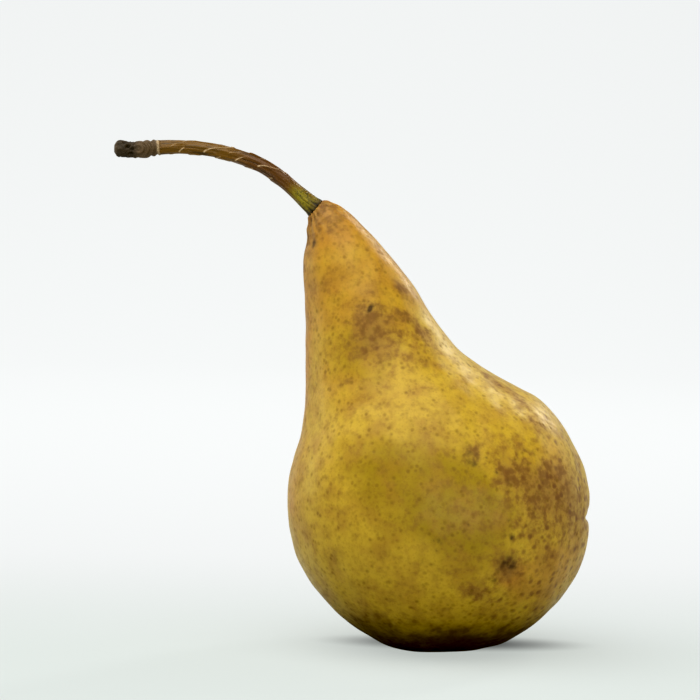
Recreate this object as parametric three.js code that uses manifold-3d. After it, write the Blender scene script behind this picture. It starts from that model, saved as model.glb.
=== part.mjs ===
// A ripe pear lying on its belly, with its long curved stem and the dried calyx at its blossom end.
//
// Millimetres, +Z up. The origin lies in the small flat spot that the fruit rests on. The stem arches
// towards -X, and the blossom end looks towards +X and a little towards +Y.
import * as THREE from 'three';
import { mergeVertices } from 'three/addons/utils/BufferGeometryUtils.js';
import Module from 'manifold-3d';

// Growth rings of the fruit, from behind the blossom end to just below the stem. Each is a section
// across the flesh, given by the X and Z of its point on the outer side of the bend and on the inner
// side, and by its half width along Y.
const GROWTH_RINGS = [
  { outer: [30.6, 18.5], inner: [31.0, 44.1], halfWidth: 12.7 },
  { outer: [27.4, 12.1], inner: [29.2, 48.4], halfWidth: 17.8 },
  { outer: [21.2, 6.2], inner: [25.9, 53.2], halfWidth: 23.2 },
  { outer: [12.5, 0.9], inner: [23.5, 56.4], halfWidth: 27.6 },
  { outer: [1.2, -1.1], inner: [20.3, 59.1], halfWidth: 30.8 },
  { outer: [-9.8, -0.7], inner: [16.7, 60.9], halfWidth: 32.8 },
  { outer: [-20.6, 4.4], inner: [13.1, 62.6], halfWidth: 33.3 },
  { outer: [-29.2, 12.0], inner: [9.6, 64.5], halfWidth: 32.5 },
  { outer: [-34.6, 20.4], inner: [6.3, 66.5], halfWidth: 30.5 },
  { outer: [-37.0, 30.9], inner: [3.6, 68.3], halfWidth: 27.6 },
  { outer: [-36.6, 40.5], inner: [1.0, 70.6], halfWidth: 24.1 },
  { outer: [-34.4, 48.5], inner: [-1.7, 73.9], halfWidth: 20.8 },
  { outer: [-33.5, 58.3], inner: [-5.1, 78.3], halfWidth: 17.3 },
  { outer: [-33.6, 67.7], inner: [-8.6, 84.0], halfWidth: 14.7 },
  { outer: [-33.9, 76.4], inner: [-12.7, 89.2], halfWidth: 12.2 },
  { outer: [-34.3, 83.7], inner: [-17.0, 93.9], halfWidth: 10.0 },
  { outer: [-34.6, 89.1], inner: [-20.9, 97.9], halfWidth: 8.0 },
  { outer: [-34.2, 93.8], inner: [-24.6, 101.2], halfWidth: 6.2 },
  { outer: [-34.0, 97.2], inner: [-27.6, 103.1], halfWidth: 4.5 },
  { outer: [-33.9, 99.2], inner: [-29.3, 103.7], halfWidth: 3.2 },
];

// The blossom basin: the height of its middle, and its section as X and radius, from the middle of
// its floor to the crest of its rim.
const BASIN_HEIGHT = 32.2;
const BASIN_SECTION = [
  [25.9, 0],
  [26.0, 2.7],
  [27.0, 5.3],
  [29.4, 7.1],
  [31.4, 8.6],
];

// The blossom end is turned about the upright line through the belly, by an angle that grows with X.
const BLOSSOM_TURN = THREE.MathUtils.degToRad(20);
const TURN_START_X = 3;
const TURN_FULL_X = 25;

// Five furrows cross the rim of the basin and fade on its wall and on the flank. The deepest looks
// towards -Y.
const FURROW_COUNT = 5;
const FURROW_DEPTH = 2.6;
const FURROW_UNEVENNESS = 0.35;
const FURROW_HALF_ANGLE = 0.22;
const FURROW_REACH = 10;
const FURROW_START_RADIUS = 3;
const FURROW_FULL_RADIUS = 8;

// The stem's seat: its middle, the direction the stem leaves it in, and its section as the height
// above the seat and the radius, from the rim into the hole that the stem's root fills.
const SEAT_MIDDLE = new THREE.Vector3(-31.8, 0, 101.6);
const SEAT_AXIS = new THREE.Vector3(-0.757, 0, 0.653);
const SEAT_SECTION = [
  [0.2, 2.3],
  [0, 1.8],
  [-0.7, 1.7],
  [-2.2, 1.6],
  [-2.4, 0.8],
  [-2.4, 0],
];

// Gentle swells and hollows of the skin, and the small dent low on the neck's left edge.
const SWELL_HEIGHT = 0.15;
const SWELL_LENGTH = 9;
const SWELL_PHASE = 0.8;
const DENT_MIDDLE = new THREE.Vector3(-34.6, -1, 94.4);
const DENT_DEPTH = 0.8;
const DENT_RADIUS = 1.9;

// The flesh is pressed flat where it rests, with a soft edge of this height.
const REST_SOFTNESS = 0.4;

const FRUIT_SIDES = 60;
const FRUIT_STEPS_PER_RING = 2;

// The stem's path with its radius there, from its root in the flesh to the end of its cut knob.
const STEM_STATIONS = [
  { at: [-30.5, 0, 100.4], radius: 1.1 },
  { at: [-31.9, 0, 101.6], radius: 1.2 },
  { at: [-32.5, 0, 102.15], radius: 2.2 },
  { at: [-33.4, 0, 102.9], radius: 2.15 },
  { at: [-36.4, 0.1, 105.4], radius: 1.85 },
  { at: [-40.1, 0.4, 108.4], radius: 1.75 },
  { at: [-44.9, 0.9, 111.4], radius: 1.7 },
  { at: [-50.2, 1.4, 113.3], radius: 1.65 },
  { at: [-55.8, 1.8, 114.6], radius: 1.6 },
  { at: [-61.6, 2.0, 115.2], radius: 1.6 },
  { at: [-67.2, 2.0, 115.2], radius: 1.65 },
  { at: [-70.2, 1.9, 114.9], radius: 1.8 },
  { at: [-72.8, 1.8, 114.5], radius: 1.95 },
  { at: [-75.2, 1.7, 114.4], radius: 1.8 },
  { at: [-77.2, 1.6, 114.6], radius: 1.9 },
  { at: [-78.5, 1.5, 114.6], radius: 1.7 },
  { at: [-79.1, 1.5, 114.6], radius: 0.9 },
];
const STEM_SIDES = 12;
const STEM_STEPS_PER_STATION = 3;
const STEM_WRINKLES = 5;
const STEM_WRINKLE_DEPTH = 0.1;
const STEM_TWIST = 3;

// The dried calyx: a ring of five pointed sepals on a small disc, standing in the basin.
const SEPAL_COUNT = 5;
const SEPAL_LENGTH = 5.2;
const SEPAL_HALF_WIDTH = 1.5;
const SEPAL_HALF_THICKNESS = 0.35;
const CALYX_RADIUS = 2.4;
const CALYX_THICKNESS = 1.1;
const CALYX_GAP = 0.35;

const wasm = await Module();
wasm.setup();

const UP = new THREE.Vector3(0, 0, 1);

/** One ring as a function of the angle: 0 is its point on the inner side, a quarter turn its far side. */
function sectionRing({ outer, inner, halfWidth }) {
  const middle = new THREE.Vector3((outer[0] + inner[0]) / 2, 0, (outer[1] + inner[1]) / 2);
  const half = new THREE.Vector3((inner[0] - outer[0]) / 2, 0, (inner[1] - outer[1]) / 2);
  const turn = BLOSSOM_TURN * THREE.MathUtils.smoothstep(middle.x, TURN_START_X, TURN_FULL_X);
  return (angle) => {
    const point = middle.clone().addScaledVector(half, Math.cos(angle));
    point.y += halfWidth * Math.sin(angle);
    return point.applyAxisAngle(UP, turn);
  };
}

/** A ring of the basin, upright, at a place along X. */
function basinRing([x, radius]) {
  const outer = [x, BASIN_HEIGHT - radius];
  const inner = [x, BASIN_HEIGHT + radius];
  return sectionRing({ outer, inner, halfWidth: radius });
}

/** A ring of the stem's seat, square to the stem, at a height above the seat. */
function seatRing([height, radius]) {
  const middle = SEAT_MIDDLE.clone().addScaledVector(SEAT_AXIS, height);
  const across = new THREE.Vector3(SEAT_AXIS.z, 0, -SEAT_AXIS.x);
  return (angle) => {
    const point = middle.clone().addScaledVector(across, radius * Math.cos(angle));
    point.y += radius * Math.sin(angle);
    return point;
  };
}

/** Rows of points on the smooth skin through the rings, with some steps from each ring to the next. */
function rowsThroughRings(rings, sides, steps) {
  const rowCount = (rings.length - 1) * steps + 1;
  const rows = Array.from({ length: rowCount }, () => []);
  for (let side = 0; side < sides; side += 1) {
    const angle = (2 * Math.PI * side) / sides;
    const curve = new THREE.CatmullRomCurve3(rings.map((ring) => ring(angle)), false, 'centripetal');
    rows.forEach((row, index) => row.push(curve.getPoint(index / (rowCount - 1))));
  }
  return rows;
}

/** A closed skin over rows of points. The first and the last row each shrink to their mean point. */
function closedSkin(rows) {
  const sides = rows[0].length;
  const positions = rows.flat().flatMap((point) => point.toArray());
  const indices = [];
  for (let row = 0; row < rows.length - 1; row += 1) {
    for (let side = 0; side < sides; side += 1) {
      const next = (side + 1) % sides;
      const [a, b] = [row * sides + side, row * sides + next];
      const [c, d] = [a + sides, b + sides];
      indices.push(a, b, c, b, d, c);
    }
  }
  for (const end of [0, rows.length - 1]) {
    const pole = positions.length / 3;
    positions.push(...meanPoint(rows[end]).toArray());
    for (let side = 0; side < sides; side += 1) {
      const [a, b] = [end * sides + side, end * sides + ((side + 1) % sides)];
      indices.push(...(end === 0 ? [pole, b, a] : [pole, a, b]));
    }
  }
  const geometry = new THREE.BufferGeometry();
  geometry.setAttribute('position', new THREE.Float32BufferAttribute(positions, 3));
  geometry.setIndex(indices);
  return geometry;
}

/** The mean of some points. */
function meanPoint(points) {
  const sum = points.reduce((total, point) => total.add(point), new THREE.Vector3());
  return sum.divideScalar(points.length);
}

/** How deep the furrows of the blossom end are at a point. */
function furrowDepth(point) {
  const local = point.clone().applyAxisAngle(UP, -BLOSSOM_TURN);
  const height = local.z - BASIN_HEIGHT;
  const radius = Math.hypot(local.y, height);
  const [crestX, crestRadius] = BASIN_SECTION.at(-1);
  const offRim = Math.hypot(local.x - crestX, radius - crestRadius);
  const angle = Math.atan2(height, -local.y);
  const pitch = (2 * Math.PI) / FURROW_COUNT;
  const offFurrow = angle - pitch * Math.round(angle / pitch);
  const depth = FURROW_DEPTH * (1 - FURROW_UNEVENNESS * (1 - Math.cos(angle)));
  const onset = THREE.MathUtils.smoothstep(radius, FURROW_START_RADIUS, FURROW_FULL_RADIUS);
  return onset * depth * Math.exp(-((offFurrow / FURROW_HALF_ANGLE) ** 2) - (offRim / FURROW_REACH) ** 2);
}

/** How far the skin stands out at a point, for its swells, its furrows and the dent in the neck. */
function relief(point) {
  const [x, y, z] = point.toArray().map((value) => value / SWELL_LENGTH);
  const swell = SWELL_HEIGHT * Math.sin(y) * (Math.sin(x + SWELL_PHASE) + Math.sin(z));
  const dent = DENT_DEPTH * Math.exp(-point.distanceToSquared(DENT_MIDDLE) / DENT_RADIUS ** 2);
  return swell - furrowDepth(point) - dent;
}

/** The height that a point keeps once the flesh is pressed flat against what it rests on. */
function pressedHeight(z) {
  if (z > REST_SOFTNESS) return z;
  return z < -REST_SOFTNESS ? 0 : (z + REST_SOFTNESS) ** 2 / (4 * REST_SOFTNESS);
}

/** The fruit: a skin through its rings, moved along its normals by the relief and pressed flat below. */
function fruitGeometry() {
  const rings = [
    ...BASIN_SECTION.map(basinRing),
    ...GROWTH_RINGS.map(sectionRing),
    ...SEAT_SECTION.map(seatRing),
  ];
  const rows = rowsThroughRings(rings, FRUIT_SIDES, FRUIT_STEPS_PER_RING).slice(1, -1);
  const geometry = closedSkin(rows);
  geometry.computeVertexNormals();
  const { position, normal } = geometry.attributes;
  const point = new THREE.Vector3();
  const direction = new THREE.Vector3();
  for (let index = 0; index < position.count; index += 1) {
    point.fromBufferAttribute(position, index);
    direction.fromBufferAttribute(normal, index);
    point.addScaledVector(direction, relief(point));
    position.setXYZ(index, point.x, point.y, pressedHeight(point.z));
  }
  geometry.computeVertexNormals();
  return geometry;
}

/** The stem: round sections square to its path, with lengthwise wrinkles. */
function stemGeometry() {
  const path = new THREE.CatmullRomCurve3(STEM_STATIONS.map(({ at }) => new THREE.Vector3(...at)));
  const radii = new THREE.CatmullRomCurve3(STEM_STATIONS.map(({ radius }) => new THREE.Vector3(radius)));
  const rowCount = (STEM_STATIONS.length - 1) * STEM_STEPS_PER_STATION;
  const rows = [];
  for (let row = 0; row <= rowCount; row += 1) {
    const share = row / rowCount;
    const tangent = path.getTangent(share);
    const across = new THREE.Vector3().crossVectors(tangent, new THREE.Vector3(0, 1, 0)).normalize();
    const deep = new THREE.Vector3().crossVectors(tangent, across);
    const middle = path.getPoint(share);
    const meanRadius = radii.getPoint(share).x;
    const twist = STEM_TWIST * share;
    rows.push(Array.from({ length: STEM_SIDES }, (_, side) => {
      const angle = (2 * Math.PI * side) / STEM_SIDES;
      const radius = meanRadius - STEM_WRINKLE_DEPTH * Math.cos(STEM_WRINKLES * angle + twist);
      return middle.clone()
        .addScaledVector(across, radius * Math.cos(angle))
        .addScaledVector(deep, radius * Math.sin(angle));
    }));
  }
  return closedSkin(rows);
}

/** One sepal as a curling blade with a lens-shaped section, rising along +Z and leaning out along +X. */
function sepalGeometry() {
  const path = new THREE.QuadraticBezierCurve3(
    new THREE.Vector3(CALYX_RADIUS * 0.6, 0, CALYX_THICKNESS * 0.4),
    new THREE.Vector3(CALYX_RADIUS, 0, SEPAL_LENGTH * 0.6),
    new THREE.Vector3(CALYX_RADIUS + SEPAL_LENGTH * 0.5, 0, SEPAL_LENGTH * 0.7),
  );
  const rowCount = 6;
  const sides = 8;
  const rows = [];
  for (let row = 0; row <= rowCount; row += 1) {
    const share = row / rowCount;
    const tangent = path.getTangent(share);
    const inward = new THREE.Vector3(-tangent.z, 0, tangent.x);
    const halfWidth = SEPAL_HALF_WIDTH * (1 - share ** 2) + 0.25;
    rows.push(Array.from({ length: sides }, (_, side) => {
      const angle = (2 * Math.PI * side) / sides;
      const point = path.getPoint(share);
      point.y += halfWidth * Math.cos(angle);
      return point.addScaledVector(inward, SEPAL_HALF_THICKNESS * Math.sin(angle));
    }));
  }
  return closedSkin(rows);
}

/** The disc that carries the sepals, with a shallow hollow in its top. */
function calyxDiscGeometry() {
  const profile = [
    [0, 0],
    [CALYX_RADIUS * 0.8, 0],
    [CALYX_RADIUS, CALYX_THICKNESS * 0.3],
    [CALYX_RADIUS, CALYX_THICKNESS],
    [CALYX_RADIUS * 0.7, CALYX_THICKNESS * 1.2],
    [CALYX_RADIUS * 0.4, CALYX_THICKNESS * 0.8],
    [0, CALYX_THICKNESS * 0.7],
  ];
  const lathe = new THREE.LatheGeometry(profile.map(([x, y]) => new THREE.Vector2(x, y)), 20);
  return lathe.rotateX(Math.PI / 2);
}

/** A geometry as a solid for joining. */
function solidOf(geometry) {
  const bare = geometry.clone();
  bare.deleteAttribute('normal');
  bare.deleteAttribute('uv');
  const merged = mergeVertices(bare, 1e-4);
  const corners = merged.index.array;
  const triangles = [];
  for (let first = 0; first < corners.length; first += 3) {
    const [a, b, c] = corners.slice(first, first + 3);
    if (a !== b && b !== c && c !== a) triangles.push(a, b, c);
  }
  return new wasm.Manifold(new wasm.Mesh({
    numProp: 3,
    vertProperties: new Float32Array(merged.attributes.position.array),
    triVerts: new Uint32Array(triangles),
  }));
}

/** The geometry of a joined solid. */
function geometryOf(solid) {
  const mesh = solid.getMesh();
  const geometry = new THREE.BufferGeometry();
  geometry.setAttribute('position', new THREE.BufferAttribute(new Float32Array(mesh.vertProperties), 3));
  geometry.setIndex(new THREE.BufferAttribute(new Uint32Array(mesh.triVerts), 1));
  geometry.computeVertexNormals();
  return geometry;
}

/** The calyx: the disc with its sepals joined to it, standing on the XY plane. */
function calyxGeometry() {
  const disc = solidOf(calyxDiscGeometry());
  const sepals = Array.from({ length: SEPAL_COUNT }, (_, index) => (
    solidOf(sepalGeometry().rotateZ((2 * Math.PI * index) / SEPAL_COUNT))
  ));
  return geometryOf(sepals.reduce((joined, sepal) => joined.add(sepal), disc));
}

/** Golden skin, half matt. */
function skinMaterial() {
  return new THREE.MeshStandardMaterial({ color: 0xb8952f, roughness: 0.45, metalness: 0 });
}

/** Ochre-brown wood of the stem. */
function stemMaterial() {
  return new THREE.MeshStandardMaterial({ color: 0x7a5a24, roughness: 0.5, metalness: 0 });
}

/** Dry dark sepals. */
function calyxMaterial() {
  return new THREE.MeshStandardMaterial({ color: 0x3b2c1c, roughness: 0.9, metalness: 0 });
}

/** A named mesh. */
function piece(name, geometry, material) {
  const mesh = new THREE.Mesh(geometry, material);
  mesh.name = name;
  return mesh;
}

/** The calyx in its place: its axis along the turned axis of the basin, just clear of the floor. */
function placedCalyx() {
  const calyx = piece('calyx', calyxGeometry(), calyxMaterial());
  const floorX = BASIN_SECTION[0][0];
  calyx.position.set(floorX + CALYX_GAP, 0, BASIN_HEIGHT).applyAxisAngle(UP, BLOSSOM_TURN);
  calyx.rotation.set(0, Math.PI / 2, BLOSSOM_TURN, 'ZYX');
  return calyx;
}

const group = new THREE.Group();
group.add(piece('fruit', fruitGeometry(), skinMaterial()));
group.add(piece('stem', stemGeometry(), stemMaterial()));
group.add(placedCalyx());

export default group;
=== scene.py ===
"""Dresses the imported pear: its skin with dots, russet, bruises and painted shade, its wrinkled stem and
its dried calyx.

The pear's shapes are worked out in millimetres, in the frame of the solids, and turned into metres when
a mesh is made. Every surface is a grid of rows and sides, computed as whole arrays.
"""
from __future__ import annotations

import logging
import math
from dataclasses import dataclass, field
from enum import Enum

import bpy
import numpy as np
from mathutils import Matrix, Vector


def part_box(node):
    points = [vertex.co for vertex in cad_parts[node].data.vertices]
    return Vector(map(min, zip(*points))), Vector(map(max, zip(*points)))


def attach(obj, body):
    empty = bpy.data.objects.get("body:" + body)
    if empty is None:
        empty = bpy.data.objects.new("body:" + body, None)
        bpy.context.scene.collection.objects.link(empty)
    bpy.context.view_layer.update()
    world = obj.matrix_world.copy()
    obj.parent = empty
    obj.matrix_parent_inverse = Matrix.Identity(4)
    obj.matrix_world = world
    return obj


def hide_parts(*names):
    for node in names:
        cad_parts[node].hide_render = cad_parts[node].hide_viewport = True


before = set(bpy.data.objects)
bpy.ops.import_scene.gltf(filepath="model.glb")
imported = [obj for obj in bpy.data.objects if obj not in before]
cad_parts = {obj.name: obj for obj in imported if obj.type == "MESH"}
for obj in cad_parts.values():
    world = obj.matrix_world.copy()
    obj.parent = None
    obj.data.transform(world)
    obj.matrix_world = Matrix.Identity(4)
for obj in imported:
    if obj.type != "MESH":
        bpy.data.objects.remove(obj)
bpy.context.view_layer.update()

LOG = logging.getLogger("pear")
MM = 0.001
TURN = 2 * math.pi
Colour = tuple[float, float, float]


def smoothstep(low: float, high: float, value: np.ndarray | float) -> np.ndarray:
    """Ease from 0 at low to 1 at high: 3s^2 - 2s^3 of the clipped share s.

    Args:
        low: The value that gives 0.
        high: The value that gives 1.
        value: What is eased.

    Returns:
        The eased share, shaped as value.
    """
    share = np.clip((np.asarray(value, float) - low) / (high - low), 0, 1)
    return share * share * (3 - 2 * share)


def turned(points: np.ndarray, angle: float) -> np.ndarray:
    """Points turned about the upright axis: x cos - y sin, x sin + y cos, and z as it is.

    Args:
        points: Points shaped (..., 3).
        angle: The angle in radians, from +X towards +Y.

    Returns:
        The turned points, shaped as points.
    """
    cosine, sine = math.cos(angle), math.sin(angle)
    x, y, z = points[..., 0], points[..., 1], points[..., 2]
    return np.stack([x * cosine - y * sine, x * sine + y * cosine, z], -1)


def spline_rows(rings: np.ndarray, places: np.ndarray) -> np.ndarray:
    """Rows on the centripetal Catmull-Rom spline through rings of points.

    Between rings 1 and 2 the tangent at 1 is the slope over 0..1, less the slope over 0..2, plus the
    slope over 1..2, where the spacing of two rings is the square root of their distance.

    Args:
        rings: Points shaped (ring, side, 3), or with more columns that follow the points.
        places: Where each row lies, counted in rings from the first.

    Returns:
        Points shaped (row, side, 3), or with the same further columns.
    """
    first = 2 * rings[:1] - rings[1:2]
    last = 2 * rings[-1:] - rings[-2:-1]
    known = np.concatenate([first, rings, last])
    gap = np.sum(np.diff(known[..., :3], axis=0) ** 2, -1, keepdims=True) ** 0.25
    gap = np.maximum(gap, 1e-4)
    before, here, after = gap[:-2], gap[1:-1], gap[2:]
    p0, p1, p2, p3 = known[:-3], known[1:-2], known[2:-1], known[3:]
    slope = (p2 - p1) / here
    leave = (slope + (p1 - p0) / before - (p2 - p0) / (before + here)) * here
    arrive = (slope + (p3 - p2) / after - (p3 - p1) / (here + after)) * here
    index = np.clip(places.astype(int), 0, len(rings) - 2)
    t = (places - index)[:, None, None]
    return (
        (2 * t**3 - 3 * t**2 + 1) * p1[index]
        + (t**3 - 2 * t**2 + t) * leave[index]
        + (3 * t**2 - 2 * t**3) * p2[index]
        + (t**3 - t**2) * arrive[index]
    )


def even_places(rings: np.ndarray, count: int) -> np.ndarray:
    """Places along the rings that leave equal mean distances between their rows.

    Args:
        rings: Rings as for spline_rows.
        count: How many places.

    Returns:
        The places, counted in rings from the first.
    """
    fine = np.linspace(0, len(rings) - 1, 12 * len(rings))
    rows = spline_rows(rings, fine)
    step = np.linalg.norm(np.diff(rows[..., :3], axis=0), axis=-1).mean(axis=1)
    length = np.concatenate([[0], np.cumsum(step)])
    return np.interp(np.linspace(0, length[-1], count), length, fine)


def grid_normals(rows: np.ndarray) -> np.ndarray:
    """Unit normals of a skin closed round its sides: round the sides crossed with along the rows.

    Args:
        rows: Points shaped (row, side, 3), whose sides run right-handed about the way the rows go.

    Returns:
        Normals shaped as rows, pointing out of the skin.
    """
    along = np.gradient(rows, axis=0)
    round_sides = np.roll(rows, -1, axis=1) - np.roll(rows, 1, axis=1)
    normal = np.cross(round_sides, along)
    return normal / np.maximum(np.linalg.norm(normal, axis=-1, keepdims=True), 1e-9)


def smoothed(rows: np.ndarray, passes: int) -> np.ndarray:
    """Rows eased along their length: each becomes half itself and a quarter of each neighbour.

    Args:
        rows: Points shaped (row, side, 3).
        passes: How many times it is done.

    Returns:
        The eased rows. The first and the last stay where they are.
    """
    eased = rows.copy()
    for _ in range(passes):
        eased[1:-1] = eased[1:-1] / 2 + (eased[:-2] + eased[2:]) / 4
    return eased


def ripples(points: np.ndarray, wavelength: float, count: int, seed: int) -> np.ndarray:
    """Gentle waves through space: the mean of sines along random directions near one wavelength.

    Args:
        points: Points shaped (..., 3).
        wavelength: The middle wavelength in millimetres.
        count: How many sines are added.
        seed: The seed of the random directions and phases.

    Returns:
        Heights from about -1 to 1, shaped as points without the last axis.
    """
    random = np.random.default_rng(seed)
    direction = random.normal(size=(count, 3))
    direction /= np.linalg.norm(direction, axis=1, keepdims=True)
    pitch = wavelength * random.uniform(0.7, 1.4, count)
    phase = random.uniform(0, TURN, count)
    waves = np.sin(points @ (direction * (TURN / pitch)[:, None]).T + phase)
    return waves.sum(-1) / math.sqrt(count)


def path_frames(line: np.ndarray) -> tuple[np.ndarray, np.ndarray, np.ndarray]:
    """Tangent, across and deep unit vectors along a path that stays near the XZ plane.

    Args:
        line: Points shaped (row, 3).

    Returns:
        The tangent, tangent x Y, and tangent x across, each shaped (row, 3).
    """
    tangent = np.gradient(line, axis=0)
    tangent /= np.linalg.norm(tangent, axis=1, keepdims=True)
    across = np.cross(tangent, [0.0, 1.0, 0.0])
    across /= np.linalg.norm(across, axis=1, keepdims=True)
    return tangent, across, np.cross(tangent, across)


@dataclass
class Skin:
    """A closed surface: rows of points with a pole at each end, and values that vary over it.

    Attributes:
        rows: Points shaped (row, side, 3), in millimetres.
        values: Named fields, shaped (row, side) for numbers or (row, side, 3) for vectors.
    """

    rows: np.ndarray
    values: dict[str, np.ndarray] = field(default_factory=dict)

    def vertices(self) -> np.ndarray:
        """All points with the two poles after them, each pole the mean of its row, in metres."""
        poles = self.rows[[0, -1]].mean(axis=1)
        return np.concatenate([self.rows.reshape(-1, 3), poles]) * MM

    def faces(self) -> tuple[np.ndarray, np.ndarray]:
        """Quads between the rows and fans round the poles, all facing out.

        Returns:
            Quads shaped (n, 4) and triangles shaped (m, 3), as vertex numbers.
        """
        row_count, sides = self.rows.shape[:2]
        number = np.arange(row_count * sides).reshape(row_count, sides)
        beside = np.roll(number, -1, axis=1)
        quads = np.stack([number[:-1], beside[:-1], beside[1:], number[1:]], -1).reshape(-1, 4)
        first, last = row_count * sides, row_count * sides + 1
        near = np.stack([np.full(sides, first), beside[0], number[0]], -1)
        far = np.stack([np.full(sides, last), number[-1], beside[-1]], -1)
        return quads, np.concatenate([near, far])

    def columns(self) -> dict[str, np.ndarray]:
        """The named fields as one value for each vertex.

        Returns:
            Arrays by name, in the order of the vertices, with the two poles last.
        """
        made = {}
        for name, value in self.values.items():
            flat = value.reshape(-1, *value.shape[2:])
            poles = value[[0, -1]].mean(axis=1)
            made[name] = np.concatenate([flat, poles])
        return made


def mesh_from_skins(name: str, skins: list[Skin]) -> bpy.types.Object:
    """One smooth-shaded object of several closed skins, with their fields as point attributes.

    Args:
        name: The object's name.
        skins: Skins that all carry the same fields.

    Returns:
        The object, linked to the scene, at the origin.
    """
    vertices, quads, triangles, columns = [], [], [], []
    start = 0
    for skin in skins:
        points = skin.vertices()
        skin_quads, skin_triangles = skin.faces()
        vertices.append(points)
        quads.append(skin_quads + start)
        triangles.append(skin_triangles + start)
        columns.append(skin.columns())
        start += len(points)
    all_quads, all_triangles = np.concatenate(quads), np.concatenate(triangles)
    corners = np.concatenate([all_quads.ravel(), all_triangles.ravel()]).astype(np.int32)
    sizes = np.concatenate([np.full(len(all_quads), 4), np.full(len(all_triangles), 3)])
    mesh = bpy.data.meshes.new(name)
    mesh.vertices.add(start)
    mesh.vertices.foreach_set("co", np.concatenate(vertices).astype(np.float32).ravel())
    mesh.loops.add(len(corners))
    mesh.loops.foreach_set("vertex_index", corners)
    mesh.polygons.add(len(sizes))
    mesh.polygons.foreach_set("loop_start", (np.cumsum(sizes) - sizes).astype(np.int32))
    mesh.polygons.foreach_set("use_smooth", np.ones(len(sizes), bool))
    mesh.update(calc_edges=True)
    for key in columns[0]:
        column = np.concatenate([made[key] for made in columns]).astype(np.float32)
        kind, slot = ("FLOAT", "value") if column.ndim == 1 else ("FLOAT_VECTOR", "vector")
        mesh.attributes.new(key, kind, "POINT").data.foreach_set(slot, column.ravel())
    mesh.validate()
    piece = bpy.data.objects.new(name, mesh)
    bpy.context.scene.collection.objects.link(piece)
    return piece


class Signal:
    """A shader socket that takes part in Python arithmetic. Each operation adds a Math node."""

    def __init__(self, shader: Shader, socket: bpy.types.NodeSocket) -> None:
        """Keep the shader that the socket belongs to, and the socket."""
        self.shader = shader
        self.socket = socket

    def _math(self, operation: str, first: Value, second: Value) -> Signal:
        """The result of one Math node."""
        return self.shader.node("ShaderNodeMath", {"operation": operation}, {0: first, 1: second})

    def __add__(self, other: Value) -> Signal:
        """self + other."""
        return self._math("ADD", self, other)

    __radd__ = __add__

    def __sub__(self, other: Value) -> Signal:
        """self - other."""
        return self._math("SUBTRACT", self, other)

    def __rsub__(self, other: Value) -> Signal:
        """other - self."""
        return self._math("SUBTRACT", other, self)

    def __mul__(self, other: Value) -> Signal:
        """self * other."""
        return self._math("MULTIPLY", self, other)

    __rmul__ = __mul__

    def __truediv__(self, other: Value) -> Signal:
        """self / other."""
        return self._math("DIVIDE", self, other)

    def __pow__(self, other: Value) -> Signal:
        """self ** other."""
        return self._math("POWER", self, other)

    def larger(self, other: Value) -> Signal:
        """The larger of the two."""
        return self._math("MAXIMUM", self, other)

    def ease(self, low: float, high: float) -> Signal:
        """Ease from 0 at low to 1 at high. With low above high it falls instead.

        Args:
            low: The value that gives 0, or 1 where it is above high.
            high: The value that gives the other end.

        Returns:
            The eased signal, from 0 to 1.
        """
        flip = low > high
        ends = (high, low) if flip else (low, high)
        settings = {"interpolation_type": "SMOOTHSTEP", "clamp": True}
        inputs = {"Value": self, "From Min": ends[0], "From Max": ends[1]}
        eased = self.shader.node("ShaderNodeMapRange", settings, inputs)
        return 1 - eased if flip else eased


Value = Signal | float | int | tuple


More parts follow.
